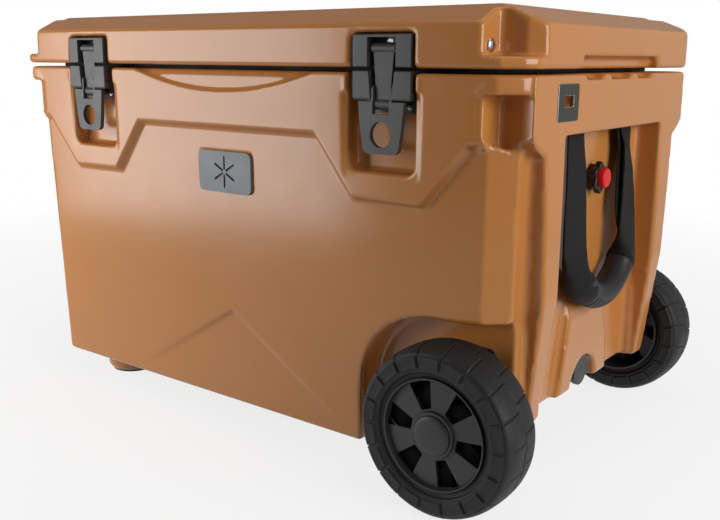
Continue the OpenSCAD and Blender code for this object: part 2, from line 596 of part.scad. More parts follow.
// ---- tow handle ---------------------------------------------------------------
module tow_frame() place() color(steel_col) difference() {
    union() {
        both_y() {
            translate([tow_x, tow_y, 132]) cylinder(h = tow_z - 132, r = tow_r);
            rod_y(tow_x, tow_y - tow_r - 0.6, tow_y + tow_r + 0.6, tow_z, 12);
            translate([tow_x, tow_y - 36, 132]) rotate([0, 90, 0]) rotate_extrude(angle = 90) translate([36, 0]) circle(tow_r, $fn = 64);
        }
        rod_y(tow_x, -tow_y + 36, tow_y - 36, 96, tow_r);
    }
    both_y() rod_y(tow_x, tow_y - 30, tow_y + 30, tow_z, 4.05);
}
module tow_grip() place() color("#2b2c2e") difference() {
    rod_y(tow_x, -70, 70, 96, 15);
    rod_y(tow_x, -80, 80, 96, tow_r + 0.05);
}
module tow_brackets() place() color(dark_col) both_y() difference() {
    union() {
        block(-floor_x - 4, -floor_x - 0.1, tow_y - 44, tow_y + 17, tow_z - 24, tow_z + 24);
        along_y(tow_y - 18, tow_y - tow_r - 1) union() {
            polygon([[-floor_x - 0.1, tow_z - 18], [-floor_x - 0.1, tow_z + 18], [tow_x, tow_z + 10], [tow_x, tow_z - 10]]);
            translate([tow_x, tow_z]) circle(10);
        }
        along_y(tow_y + tow_r + 1, tow_y + 17) union() {
            polygon([[-floor_x - 0.1, tow_z - 18], [-floor_x - 0.1, tow_z + 18], [tow_x, tow_z + 10], [tow_x, tow_z - 10]]);
            translate([tow_x, tow_z]) circle(10);
        }
    }
    rod_y(tow_x, tow_y - 50, tow_y + 50, tow_z, 4.03);
    for (z = [-14, 14]) rod_x(-floor_x - 10, -floor_x + 5, tow_y - 32, tow_z + z, 2.6);
}
module tow_bracket_screws() place() color(steel_col) both_y() for (z = [-14, 14]) {
    rod_x(-floor_x - 6.6, -floor_x - 4.05, tow_y - 32, tow_z + z, 4.6);
    rod_x(-floor_x - 5, -floor_x - 0.1, tow_y - 32, tow_z + z, 2.5);
}
module tow_pins() place() color(steel_col) both_y() rod_y(tow_x, tow_y - 18, tow_y + 17, tow_z, 4);

// ---- drawing ----------------------------------------------------------------
body_shell();
body_foam();
body_foam_plug();
feet();
foot_pads();
foot_screws();
opener_plate();
front_badge();
badge_pins();
gasket();
latch_base_left();
latch_base_right();
latch_base_screws();
latch_pins();
latch_lever_left();
latch_lever_right();
latch_link_left();
latch_link_right();
link_pin_left();
link_pin_right();
keeper_left();
keeper_right();
keeper_screws();
lid_shell();
lid_foam();
lid_foam_plug();
lid_corner_studs();
hinge_rods();
hinge_rod_caps();
axle_plates();
axle_plate_screws();
axle_bolts();
axle_washers();
axle_nuts();
tyre_front();
rim_front();
bush_front();
hub_cap_front();
tyre_rear();
rim_rear();
bush_rear();
hub_cap_rear();
drain_fitting();
drain_seal();
drain_nut();
drain_cap();
valve_body();
valve_button();
valve_spring();
valve_nut();
carry_webbing();
carry_grip();
carry_strap_tops();
carry_anchor_pins();
tow_frame();
tow_grip();
tow_brackets();
tow_bracket_screws();
tow_pins();
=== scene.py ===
import json
import math
import bpy
import bmesh
import numpy as np
from mathutils import Vector, Matrix, Quaternion
from mathutils.bvhtree import BVHTree


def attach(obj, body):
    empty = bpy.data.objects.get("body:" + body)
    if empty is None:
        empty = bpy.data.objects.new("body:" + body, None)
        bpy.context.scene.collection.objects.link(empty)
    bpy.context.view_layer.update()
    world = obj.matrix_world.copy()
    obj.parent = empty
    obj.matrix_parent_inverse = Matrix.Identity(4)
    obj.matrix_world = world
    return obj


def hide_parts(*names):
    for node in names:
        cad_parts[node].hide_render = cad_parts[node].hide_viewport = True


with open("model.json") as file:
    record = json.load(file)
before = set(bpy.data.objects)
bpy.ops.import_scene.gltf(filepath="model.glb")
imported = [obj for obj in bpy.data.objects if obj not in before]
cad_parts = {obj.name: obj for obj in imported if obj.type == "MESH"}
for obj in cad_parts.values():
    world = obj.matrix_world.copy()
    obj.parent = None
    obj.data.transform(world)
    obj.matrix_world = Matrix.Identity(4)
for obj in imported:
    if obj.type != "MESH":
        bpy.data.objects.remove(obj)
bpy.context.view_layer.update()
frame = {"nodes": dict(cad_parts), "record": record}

NODES = frame["nodes"]
scene = bpy.context.scene
SH = -10.5  # mm, from the body's middle to the middle of the overall box


def X(b):
    return (b + SH) / 1000.0


# ---------------------------------------------------------------- materials
def new_mat(name):
    m = bpy.data.materials.new(name)
    m.use_nodes = True
    nt = m.node_tree
    nt.nodes.clear()
    out = nt.nodes.new("ShaderNodeOutputMaterial")
    bsdf = nt.nodes.new("ShaderNodeBsdfPrincipled")
    nt.links.new(bsdf.outputs[0], out.inputs[0])
    tc = nt.nodes.new("ShaderNodeTexCoord")
    return m, nt, bsdf, tc.outputs["Object"]


def noise(nt, co, scale, detail=3.0, rough=0.5, dist=0.0):
    n = nt.nodes.new("ShaderNodeTexNoise")
    n.inputs["Scale"].default_value = scale
    n.inputs["Detail"].default_value = detail
    n.inputs["Roughness"].default_value = rough
    n.inputs["Distortion"].default_value = dist
    nt.links.new(co, n.inputs["Vector"])
    return n.outputs["Fac"]


def mapping(nt, co, scale):
    n = nt.nodes.new("ShaderNodeMapping")
    n.inputs["Scale"].default_value = scale
    nt.links.new(co, n.inputs["Vector"])
    return n.outputs[0]


def ramp(nt, fac, stops):
    n = nt.nodes.new("ShaderNodeValToRGB")
    e = n.color_ramp.elements
    while len(e) < len(stops):
        e.new(0.5)
    for i, (p, c) in enumerate(stops):
        e[i].position = p
        e[i].color = (*c, 1) if len(c) == 3 else c
    nt.links.new(fac, n.inputs[0])
    return n.outputs["Color"]


def grey(v):
    return (v, v, v)


def math_node(nt, op, a, b=None, clamp=False):
    n = nt.nodes.new("ShaderNodeMath")
    n.operation = op
    n.use_clamp = clamp
    for i, v in enumerate((a, b)):
        if v is None:
            continue
        if isinstance(v, (int, float)):
            n.inputs[i].default_value = v
        else:
            nt.links.new(v, n.inputs[i])
    return n.outputs[0]


def bump(nt, bsdf, height, strength, distance, chain=None):
    n = nt.nodes.new("ShaderNodeBump")
    n.inputs["Strength"].default_value = strength
    n.inputs["Distance"].default_value = distance
    nt.links.new(height, n.inputs["Height"])
    if chain is not None:
        nt.links.new(chain, n.inputs["Normal"])
    nt.links.new(n.outputs[0], bsdf.inputs["Normal"])
    return n.outputs[0]


def lin(c):
    return tuple(x / 12.92 if x <= 0.04045 else ((x + 0.055) / 1.055) ** 2.4 for x in c)


def plastic(name, col, rough=(0.35, 0.45), var=0.08, grain=900.0, grain_d=0.00004, wave=0.0, spec=0.5, coat=0.0):
    """A moulded plastic: faint tone changes, uneven gloss and a fine grain."""
    m, nt, b, co = new_mat(name)
    c = np.array(col)
    lo, hi = tuple(c * (1 - var)), tuple(np.minimum(c * (1 + var), 1))
    n1 = noise(nt, co, 9.0, 4.0, 0.55)
    nt.links.new(ramp(nt, n1, [(0.3, lo), (0.7, hi)]), b.inputs["Base Color"])
    n2 = noise(nt, co, 38.0, 5.0, 0.6)
    nt.links.new(ramp(nt, n2, [(0.3, grey(rough[0])), (0.7, grey(rough[1]))]), b.inputs["Roughness"])
    b.inputs["Specular IOR Level"].default_value = spec
    if coat:
        b.inputs["Coat Weight"].default_value = coat
        b.inputs["Coat Roughness"].default_value = 0.12
    ch = None
    if wave:
        ch = bump(nt, b, noise(nt, co, 14.0, 2.0, 0.4), 0.5, wave)
    bump(nt, b, noise(nt, co, grain, 2.0, 0.5), 0.5, grain_d, ch)
    return m


def metal(name, col, rough=(0.25, 0.4), brush=(1, 1, 60), var=0.12):
    m, nt, b, co = new_mat(name)
    b.inputs["Metallic"].default_value = 1.0
    c = np.array(col)
    st = noise(nt, mapping(nt, co, brush), 60.0, 3.0, 0.6)
    nt.links.new(ramp(nt, st, [(0.25, tuple(c * (1 - var))), (0.75, tuple(np.minimum(c * (1 + var), 1)))]), b.inputs["Base Color"])
    nt.links.new(ramp(nt, st, [(0.25, grey(rough[0])), (0.75, grey(rough[1]))]), b.inputs["Roughness"])
    bump(nt, b, st, 0.35, 0.00004)
    return m


def webbing_mat(name, col):
    """Flat polyester webbing: rows of slanted yarns."""
    m, nt, b, co = new_mat(name)
    sp = nt.nodes.new("ShaderNodeSeparateXYZ")
    nt.links.new(co, sp.inputs[0])
    y, z = sp.outputs["Y"], sp.outputs["Z"]
    k = 2 * math.pi / 0.0024
    zig = math_node(nt, "ABSOLUTE", math_node(nt, "SINE", math_node(nt, "MULTIPLY", y, k / 2)))
    ph = math_node(nt, "ADD", math_node(nt, "MULTIPLY", z, k * 1.3), math_node(nt, "MULTIPLY", zig, 2.2))
    yarn = math_node(nt, "MULTIPLY", math_node(nt, "ADD", math_node(nt, "SINE", ph), 1.0), 0.5)
    h = math_node(nt, "ADD", yarn, math_node(nt, "MULTIPLY", zig, 0.6))
    fz = noise(nt, co, 1800.0, 3.0, 0.7)
    mixh = math_node(nt, "ADD", math_node(nt, "MULTIPLY", h, 0.62), math_node(nt, "MULTIPLY", fz, 0.2))
    c = np.array(col)
    # colour follows the yarn height: painted shade in the grooves between yarns and a painted sheen on their crowns;
    # the fine noise part adds random tone
    nt.links.new(ramp(nt, mixh, [(0.1, tuple(c * 0.45)), (0.9, tuple(c * 1.7))]), b.inputs["Base Color"])
    nt.links.new(ramp(nt, fz, [(0.3, grey(0.62)), (0.7, grey(0.8))]), b.inputs["Roughness"])
    b.inputs["Specular IOR Level"].default_value = 0.25
    b.inputs["Sheen Weight"].default_value = 0.04
    b.inputs["Sheen Roughness"].default_value = 0.5
    bump(nt, b, mixh, 0.8, 0.0005)
    return m


def foam_mat(name, col):
    m, nt, b, co = new_mat(name)
    v = nt.nodes.new("ShaderNodeTexVoronoi")
    v.inputs["Scale"].default_value = 420.0
    nt.links.new(co, v.inputs["Vector"])
    c = np.array(col)
    # darker at the cell centres, which the bump makes into pits: painted shade in the pores
    nt.links.new(ramp(nt, v.outputs["Distance"], [(0.0, tuple(c * 0.7)), (0.6, tuple(c))]), b.inputs["Base Color"])
    b.inputs["Roughness"].default_value = 0.9
    bump(nt, b, v.outputs["Distance"], 0.8, 0.0006)
    return m


BODY_COL = lin((0.772, 0.508, 0.262))
M = {
    "body_plastic": plastic("tan_moulded_skin", BODY_COL, (0.17, 0.24), 0.02, 620.0, 0.000012, 0.00022, 0.5),
    "foam": foam_mat("insulation_foam", lin((0.92, 0.86, 0.66))),
    "seal_rubber": plastic("seal_rubber", lin((0.07, 0.07, 0.07)), (0.55, 0.7), 0.1, 500.0, 0.00006),
    "latch_plastic": plastic("latch_grained_plastic", lin((0.25, 0.25, 0.258)), (0.38, 0.5), 0.06, 1500.0, 0.00004),
    "black_plastic": plastic("black_moulded_plastic", lin((0.055, 0.055, 0.057)), (0.3, 0.45), 0.1, 900.0, 0.00004),
    "tyre": plastic("tyre_compound", lin((0.125, 0.125, 0.127)), (0.5, 0.66), 0.1, 1100.0, 0.00006, 0.0, 0.35),
    "wheel_plastic": plastic("wheel_grained_plastic", lin((0.165, 0.165, 0.168)), (0.4, 0.52), 0.07, 1300.0, 0.00005),
    "bush_plastic": plastic("bush_plastic", lin((0.85, 0.83, 0.78)), (0.35, 0.45), 0.04),
    "plate_metal": metal("brushed_plate", lin((0.34, 0.34, 0.31)), (0.36, 0.5), (1, 60, 1)),
    "badge": plastic("slate_paint", lin((0.42, 0.455, 0.48)), (0.38, 0.48), 0.05, 800.0, 0.00003),
    "button_red": plastic("red_button_plastic", lin((0.86, 0.10, 0.12)), (0.3, 0.4), 0.05, 900.0, 0.00002, 0.0, 0.3),
    "webbing": webbing_mat("black_webbing", lin((0.028, 0.024, 0.021))),
    "grip_rubber": plastic("grip_rubber", lin((0.115, 0.105, 0.11)), (0.42, 0.56), 0.1, 1400.0, 0.00007, 0.0, 0.35),
    "tube_metal": plastic("powder_coat_black", lin((0.09, 0.09, 0.095)), (0.4, 0.5), 0.08, 1600.0, 0.00008),
    "steel": metal("satin_steel", lin((0.78, 0.78, 0.79)), (0.18, 0.32), (1, 1, 30)),
}
# brighter metal for the opener plate's edges: a painted highlight
PLATE_RIM_HIGHLIGHT = metal("plate_rim_painted_highlight", lin((0.66, 0.66, 0.64)), (0.25, 0.36), (1, 60, 1))
# near-black colour that paints shade: the dark inside behind the wheel rim's windows
PAINTED_SHADE_BLACK = plastic("wheel_window_painted_shade", lin((0.02, 0.02, 0.02)), (0.75, 0.85), 0.1, 500.0, 0.00003, 0.0, 0.1)
SLOT = {s["node"]: s["material_slot"] for s in frame["record"]["subparts"]}


def paint(ob, mat):
    ob.data.materials.clear()
    ob.data.materials.append(mat)


for _n, _o in NODES.items():
    for _s in _o.material_slots:
        _s.material = M[SLOT[_n]]
    if not _o.material_slots:
        _o.data.materials.append(M[SLOT[_n]])


# ---------------------------------------------------------------- mesh tools
def add_object(name, me, body, slot, smooth=True, mat=None):
    ob = bpy.data.objects.new(name, me)
    scene.collection.objects.link(ob)
    if smooth:
        me.polygons.foreach_set("use_smooth", [True] * len(me.polygons))
    paint(ob, mat or M[slot])
    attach(ob, body)
    return ob


def mesh_from(name, verts, faces):
    me = bpy.data.meshes.new(name)
    me.from_pydata([tuple(v) for v in verts], [], [tuple(f) for f in faces])
    me.validate()
    me.update()
    return me


def apply_mods(ob):
    dg = bpy.context.evaluated_depsgraph_get()
    me = bpy.data.meshes.new_from_object(ob.evaluated_get(dg), depsgraph=dg)
    ob.modifiers.clear()
    ob.data = me
    return ob


def cad_copy(name, *nodes):
    """One mesh with the solids of these CAD nodes, doubles merged."""
    bm = bmesh.new()
    for n in nodes:
        bm.from_mesh(NODES[n].data)
    bmesh.ops.remove_doubles(bm, verts=bm.verts, dist=2e-6)
    me = bpy.data.meshes.new(name)
    bm.to_mesh(me)
    bm.free()
    return me


def co_of(me):
    a = np.empty(len(me.vertices) * 3, np.float64)
    me.vertices.foreach_get("co", a)
    return a.reshape(-1, 3)


def set_co(me, co):
    me.vertices.foreach_set("co", co.astype(np.float32).ravel())
    me.update()


def normals_of(me):
    a = np.empty(len(me.vertices) * 3, np.float32)
    me.vertices.foreach_get("normal", a)
    return a.reshape(-1, 3).astype(np.float64)


def edges_of(me):
    a = np.empty(len(me.edges) * 2, np.int64)
    me.edges.foreach_get("vertices", a)
    return a.reshape(-1, 2)


def laplace(co, e, n, times, f=0.5, w=None):
    deg = np.bincount(e[:, 0], minlength=n) + np.bincount(e[:, 1], minlength=n)
    deg = np.maximum(deg, 1)
    for _ in range(times):
        s = np.empty_like(co)
        for k in range(3):
            s[:, k] = np.bincount(e[:, 0], co[e[:, 1], k], n) + np.bincount(e[:, 1], co[e[:, 0], k], n)
        s /= deg[:, None]
        d = (s - co) * f
        if w is not None:
            d *= w[:, None]
        co = co + d
    return co


def smoothstep(a, b, x):
    t = np.clip((x - a) / (b - a), 0, 1)
    return t * t * (3 - 2 * t)


def soften(me, voxel, times, snap=(0.00035, 0.0011)):
    """Rounds the edges of closed solids as rotational moulding does, and keeps their flat faces flat."""
    ob = bpy.data.objects.new("tmp_soften", me)
    scene.collection.objects.link(ob)
    bm = bmesh.new()
    bm.from_mesh(me)
    bvh = BVHTree.FromBMesh(bm)
    bm.free()
    md = ob.modifiers.new("r", "REMESH")
    md.mode = "VOXEL"
    md.voxel_size = voxel
    md.adaptivity = 0
    apply_mods(ob)
    me2 = ob.data
    bpy.data.objects.remove(ob)
    co, e = co_of(me2), edges_of(me2)
    n = len(co)
    co = laplace(co, e, n, times)
    tgt = np.empty_like(co)
    dist = np.empty(n)
    for i in range(n):
        p, _, _, d = bvh.find_nearest(co[i])
        tgt[i] = p
        dist[i] = d
    w = 1 - smoothstep(snap[0], snap[1], dist)
    co = co + (tgt - co) * w[:, None]
    co = laplace(co, e, n, 1, 0.3)
    set_co(me2, co)
    return me2


def flat_normals(me):
    """Normals weighted by face area, so broad faces look flat and only their rounded edges turn."""
    n = np.zeros((len(me.vertices), 3))
    for p in me.polygons:
        v = np.array(p.normal) * p.area
        for i in p.vertices:
            n[i] += v
    n /= np.maximum(np.linalg.norm(n, axis=1), 1e-12)[:, None]
    me.normals_split_custom_set_from_vertices([tuple(v) for v in n])


def bevel_copy(name, node, body, slot, width, segs=2, angle=32, extra=None):
    me = cad_copy(name, node)
    bm = bmesh.new()
    bm.from_mesh(me)
    bmesh.ops.dissolve_limit(bm, angle_limit=math.radians(1.5), verts=bm.verts, edges=bm.edges)
    bm.to_mesh(me)
    bm.free()
    ob = add_object(name, me, body, slot)
    md = ob.modifiers.new("b", "BEVEL")
    md.width = width
    md.segments = segs
    md.limit_method = "ANGLE"
    md.angle_limit = math.radians(angle)
    md.use_clamp_overlap = True
    apply_mods(ob)
    flat_normals(ob.data)
    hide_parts(node)
    return ob


def sharp(ob, deg):
    """Smooth faces, with edges over an angle left sharp."""
    me = ob.data
    bm = bmesh.new()
    bm.from_mesh(me)
    for f in bm.faces:
        f.smooth = True
    lim = math.radians(deg)
    for ed in bm.edges:
        ed.smooth = not (len(ed.link_faces) == 2 and ed.calc_face_angle(0) > lim)
    bm.to_mesh(me)
    bm.free()
    me.update()


# ---------------------------------------------------------------- body and lid
def seg_dist(px, pz, pts):
    """Signed distance from points to a closed outline, positive outside."""
    d = np.full(px.shape, 1e9)
    inside = np.zeros(px.shape, bool)
    n = len(pts)
    for i in range(n):
        ax, az = pts[i]
        bx, bz = pts[(i + 1) % n]
        ex, ez = bx - ax, bz - az
        t = np.clip(((px - ax) * ex + (pz - az) * ez) / (ex * ex + ez * ez), 0, 1)
        d = np.minimum(d, np.hypot(px - ax - t * ex, pz - az - t * ez))
        c = ((az > pz) != (bz > pz)) & (px < (bx - ax) * (pz - az) / (bz - az + 1e-12) + ax)
        inside ^= c
    return np.where(inside, -d, d)


def front_height(x, z):
    """Depth of the front face in mm: proud upper zone, lower panel, finger arch and folded triangle."""
    yl = -228 + 10 * (432 - z) / 398
    yu = -237.6 + 2.6 * (451 - z) / 131
    half = [(470, 520), (470, 386), (340, 386), (284, 321), (199, 322), (148, 387.5)]
    pts = half + [(-a, b) for a, b in reversed(half)]
    d = seg_dist(x, z, pts)
    t = np.clip(d / 7.5, 0, 1)
    t = 0.25 * t + 0.75 * t * t * (3 - 2 * t)
    y = yu * (1 - t) + yl * t
    # finger arch under the lid
    r = 468 - np.hypot(x, z - 895)
    a = np.clip((r + 1.5) / 4.0, 0, 1)
    y = y + 4.6 * a * a * (3 - 2 * a) * (np.abs(x) < 158)
    # folded triangle, deepest at its tip
    dt = seg_dist(x, z, [(0, 155), (218, 22), (-218, 22)])
    depth = np.clip(4.4 * (z - 36) / 118, 0, 4.6)
    tt = np.clip((3.0 - dt) / 7.0, 0, 1)
    y = y + depth * tt * tt * (3 - 2 * tt)
    return y


def shape_front(me):
    co = co_of(me)
    nr = normals_of(me)
    x = co[:, 0] * 1000 + 10.5
    y = co[:, 1] * 1000
    z = co[:, 2] * 1000
    yt = front_height(x, z)
    # the badge's seat
    seat = (np.abs(x) < 45.5) & (z > 303.5) & (z < 356.5)
    ok = (nr[:, 1] < -0.25) & (np.abs(y - yt) < 10.5) & (z > 40) & (z < 447)
    w = ok.astype(float)
    # fades to nothing at the edges of the region
    lim = 352 + 8 * (z - 34) / 398
    w *= 1 - smoothstep(-7, 0, np.abs(x) - lim)
    w *= smoothstep(37, 44, z) * (1 - smoothstep(443, 448, z))
    for s in (-1, 1):
        dl = seg_dist(x, z, [(s * 238 - 42, 349), (s * 238 + 42, 349), (s * 238 + 42, 470), (s * 238 - 42, 470)])
        w *= smoothstep(4.0, 8.0, dl)
        dp = seg_dist(x, z, [(s * 356, 372), (s * 420, 372), (s * 420, 432), (s * 356, 432)])
        w *= smoothstep(4.0, 9.0, dp)
    arch = [(201.5, 0), (202.5, 91), (205, 127), (211.5, 146), (223, 165), (240, 181), (257, 190), (273, 195.2), (291, 198), (331, 199.5), (359, 201.5), (430, 203), (430, 0)]
    w *= smoothstep(4.5, 10.0, seg_dist(x, z, arch))
    ds = seg_dist(x, z, [(-45, 304), (45, 304), (45, 356), (-45, 356)])
    w *= smoothstep(1.0, 2.5, ds)
    co[:, 1] += (yt - y) * w / 1000.0
    e = edges_of(me)
    m = (w > 0.6).astype(float)
    co2 = laplace(co, e, len(co), 2, 0.4, m)
    set_co(me, co2)


VOX = 0.0025
body_me = soften(cad_copy("body_skin", "body_shell", "body_foam_plug"), VOX, 7)
shape_front(body_me)
body = add_object("body_skin", body_me, "cooler_body", "body_plastic")
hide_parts("body_shell")
lid_me = soften(cad_copy("lid_skin", "lid_shell", "lid_foam_plug"), VOX, 6)
lid = add_object("lid_skin", lid_me, "lid", "body_plastic")
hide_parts("lid_shell")



# ---------------------------------------------------------------- bevelled copies
for n, body_n, wd in (
    ("latch_base_left", "cooler_body", 0.7), ("latch_base_right", "cooler_body", 0.7),
    ("latch_lever_left", "lever_left", 0.9), ("latch_lever_right", "lever_right", 0.9),
    ("latch_link_left", "link_left", 0.7), ("latch_link_right", "link_right", 0.7),
    ("keeper_left", "lid", 0.7), ("keeper_right", "lid", 0.7),
    ("front_badge", "cooler_body", 0.6), ("drain_cap", "drain_cap", 0.5),
    ("tow_brackets", "cooler_body", 0.8), ("foot_pads", "cooler_body", 0.6),
    ("drain_fitting", "cooler_body", 0.4), ("hinge_rod_caps", "cooler_body", 0.5),
    ("lid_foam_plug", "lid", 0.5), ("body_foam_plug", "cooler_body", 0.5),
    ("rim_front", "wheel_front", 0.7), ("rim_rear", "wheel_rear", 0.7),
):
    bevel_copy(n + "_skin", n, body_n, SLOT[n], wd / 1000.0, 2, 30)

plate = bevel_copy("opener_plate_skin", "opener_plate", "cooler_body", SLOT["opener_plate"], 0.0006, 2, 30)
# faces not facing along X (rim, bevels, sides) get the brighter metal, a painted highlight along the plate's edge
plate.data.materials.append(PLATE_RIM_HIGHLIGHT)
for f in plate.data.polygons:
    c = f.center
    if abs(f.normal.x) < 0.97:
        f.material_index = 1

# feet: rounded skirts
feet_me = soften(cad_copy("feet_skin", "feet"), 0.0015, 4)
feet_ob = add_object("feet_skin", feet_me, "cooler_body", "body_plastic")
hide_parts("feet")


# ---------------------------------------------------------------- lofts
def loft_mesh(name, rings, closed=False):
    """Skin over rings with the same number of points; ends are capped unless the rings form a loop."""
    m = len(rings[0])
    v = [p for r in rings for p in r]
    f = []
    k = len(rings)
    for i in range(k if closed else k - 1):
        a, b = i * m, ((i + 1) % k) * m
        for j in range(m):
            j2 = (j + 1) % m
            f.append((a + j, a + j2, b + j2, b + j))
    if not closed:
        f.append(tuple(range(m - 1, -1, -1)))
        f.append(tuple((k - 1) * m + j for j in range(m)))
    me = mesh_from(name, v, f)
    bm = bmesh.new()
    bm.from_mesh(me)
    bmesh.ops.recalc_face_normals(bm, faces=bm.faces)
    bm.to_mesh(me)
    bm.free()
    return me


def super_ring(c, u, v, a, b, n, m=40):
    out = []
    for i in range(m):
        t = 2 * math.pi * i / m
        cu, sv = math.cos(t), math.sin(t)
        pu = math.copysign(abs(cu) ** (2.0 / n), cu) * a
        pv = math.copysign(abs(sv) ** (2.0 / n), sv) * b
        out.append((c + u * pu + v * pv) / 1000.0)
    return out


def spline(keys, t):
    """Smooth value at t from (position, value, value, ...) rows."""
    p = [k[0] for k in keys]
    i = max(0, min(len(p) - 2, int(np.searchsorted(p, t)) - 1))
    a, b = keys[i], keys[i + 1]
    s = min(max((t - a[0]) / (b[0] - a[0]), 0), 1)
    s = s * s * (3 - 2 * s) * 0.5 + s * 0.5
    return [x + (y - x) * s for x, y in zip(a[1:], b[1:])]


GRIP_R = 71.0
GRIP_Z = 268.0


def strap(side, path, keys, steps=110):
    """Webbing leg that hangs down its path, then folds round the end of the grip."""
    # path: (y, z) of the middle of the leg; keys: height, x, twist in degrees, half width, half thickness, exponent
    pts = [Vector((0.0, y, z)) for y, z in path]
    dense = []
    for i in range(len(pts) - 1):
        p0, p1, p2, p3 = pts[max(i - 1, 0)], pts[i], pts[i + 1], pts[min(i + 2, len(pts) - 1)]
        for k in range(24):
            t = k / 24.0
            dense.append(0.5 * ((2 * p1) + (p2 - p0) * t + (2 * p0 - 5 * p1 + 4 * p2 - p3) * t * t + (3 * p1 - p0 - 3 * p2 + p3) * t ** 3))
    dense.append(pts[-1])
    run = [0.0]
    for a_, b_ in zip(dense, dense[1:]):
        run.append(run[-1] + (b_ - a_).length)
    total = run[-1]
    rings = []
    for i in range(steps + 1):
        s_ = total * i / steps
        k = max(0, min(len(run) - 2, int(np.searchsorted(run, s_)) - 1))
        f = (s_ - run[k]) / max(run[k + 1] - run[k], 1e-9)
        c0 = dense[k].lerp(dense[k + 1], f)
        tg = (dense[min(k + 2, len(dense) - 1)] - dense[max(k - 1, 0)]).normalized()
        x, tw, a, b, n = spline(keys, s_)
        c = Vector((x + SH, side * c0.y, c0.z))
        u = Vector((0.0, side * -tg.z, tg.y))
        v = Vector((1.0, 0.0, 0.0))
        w_ = math.radians(tw)
        u2 = u * math.cos(w_) + v * math.sin(w_)
        v2 = v * math.cos(w_) - u * math.sin(w_)
        if i == steps:
            a, b = a * 0.93, b * 0.93
        rings.append(super_ring(c, u2, v2, a, b, n))
    return rings


near_path = [(74, 391), (73.5, 340), (73, 290), (72.4, 262), (70.6, 245), (66.8, 231.5), (60, 220.5), (50.6, 213), (41, 209.6)]
far_path = [(74, 391), (77, 366), (74, 331), (72.5, 300), (71.2, 268), (69.5, 252), (65.5, 238), (60, 228.8), (56.5, 225)]
near_keys = [(0, 379.9, 5.0, 24.0, 1.15, 9), (55, 383.6, 0.5, 25.0, 1.15, 9), (93, 384.6, -2.2, 25.4, 1.3, 8),
             (131, 385.8, -3.0, 26.0, 2.0, 6), (146, 386.4, -2.0, 25.2, 6.0, 3.2), (160, 386.8, 0.0, 22.6, 11.0, 2.5),
             (173, 387.0, 0.0, 19.8, 15.6, 2.2), (185, 387.2, 0.0, 18.2, 17.2, 2.0), (203, 387.2, 0.0, 17.8, 17.4, 2.0)]
far_keys = [(0, 376.9, -7.5, 23.0, 1.15, 9), (25, 379.2, -15.0, 24.5, 1.15, 9), (60, 384.4, -9.0, 25.0, 1.2, 9), (91, 386.9, -5.0, 25.4, 1.3, 8),
            (123, 388.2, -2.0, 26.0, 2.2, 6), (139, 388.6, -1.0, 25.6, 5.5, 3.2), (153, 388.4, 0.0, 22.6, 12.0, 2.4),
            (163, 388.2, 0.0, 19.4, 16.6, 2.1), (176, 388.0, 0.0, 17.9, 17.4, 2.0)]
near_rings = strap(-1, near_path, near_keys)
far_rings = strap(1, far_path, far_keys)
me1 = loft_mesh("strap_near", near_rings)
me2 = loft_mesh("strap_far", far_rings)
# second layer of the far leg behind the first, sewn at its top
lay = []
for i in range(30):
    t = i / 29.0
    z = 391.0 - 130.0 * t
    lo_y = 45.0 + 6.0 * math.exp(-((t - 0.26) / 0.15) ** 2) - 3.0 * t + 12.0 * max(0.0, (t - 0.72) / 0.28) ** 2
    hi_y = 80.0 - 16.0 * t
    tw = math.radians(-5.0 + 4.0 * t)
    c = Vector((375.8 + SH + 9.6 * (t ** 0.8), 0.5 * (lo_y + hi_y), z))
    u = Vector((math.sin(tw), math.cos(tw), 0.0))
    v = Vector((math.cos(tw), -math.sin(tw), 0.0))
    lay.append(super_ring(c, u, v, 0.5 * (hi_y - lo_y), 1.0, 9))
me3 = loft_mesh("strap_layer", lay)


def join_meshes(name, *mes):
    bm = bmesh.new()
    for m_ in mes:
        bm.from_mesh(m_)
    me = bpy.data.meshes.new(name)
    bm.to_mesh(me)
    bm.free()
    return me


webbing = add_object("carry_webbing_skin", join_meshes("carry_webbing_skin", me1, me2, me3), "carry_handle", "webbing")
sharp(webbing, 50)
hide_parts("carry_webbing")

# grip: a rubber tube bent to an arc, with short slits on its underside
rings = []
n_a, n_c = 150, 72
a0, a1 = math.radians(-50), math.radians(62)
for i in range(n_a + 1):
    ph = a0 + (a1 - a0) * i / n_a
    x = 387.2 + 0.8 * i / n_a
    endk = min(i, n_a - i)
    r0 = 16.5 - (1.2 if endk == 0 else 0.35 if endk == 1 else 0.0)
    ring = []
    for j in range(n_c):
        t = 2 * math.pi * j / n_c
        # t = 0 points away from the arc's middle (down), pi/2 towards +X
        slit = 0.0
        lo = math.cos(t)
        if lo > 0.25:
            q = (math.degrees(ph) + 40) / 6.0
            fr = abs(q - round(q)) * 6.0 * GRIP_R * math.pi / 180
            if -30 < math.degrees(ph) < 30:
                slit = 1.5 * max(0.0, 1 - (fr / 1.35) ** 4) * min(1.0, (lo - 0.25) / 0.2) if fr < 1.35 else 0.0
        rr = r0 - slit
        rad = GRIP_R + rr * math.cos(t)
        ring.append(Vector((x + SH + rr * math.sin(t), rad * math.sin(ph), GRIP_Z - rad * math.cos(ph))) / 1000.0)
    rings.append(ring)
grip = add_object("carry_grip_skin", loft_mesh("carry_grip_skin", rings), "carry_handle", "grip_rubber")
sharp(grip, 45)
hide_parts("carry_grip")


# ---------------------------------------------------------------- air valve
def axial_mesh(name, x0, rows, radius_at, m=160, y0=0.0, z0=0.333, hole=None):
    """Solid of stacked closed outlines along X; rows are (x offset in mm, inset in mm)."""
    rr = []
    for dx, inset in rows:
        ring = []
        for j in range(m):
            t = 2 * math.pi * j / m
            r = max(radius_at(t) - inset, 0.05)
            ring.append(Vector((x0 + dx / 1000.0, y0 + r * math.cos(t) / 1000.0, z0 + r * math.sin(t) / 1000.0)))
        rr.append(ring)
    return loft_mesh(name, rr)


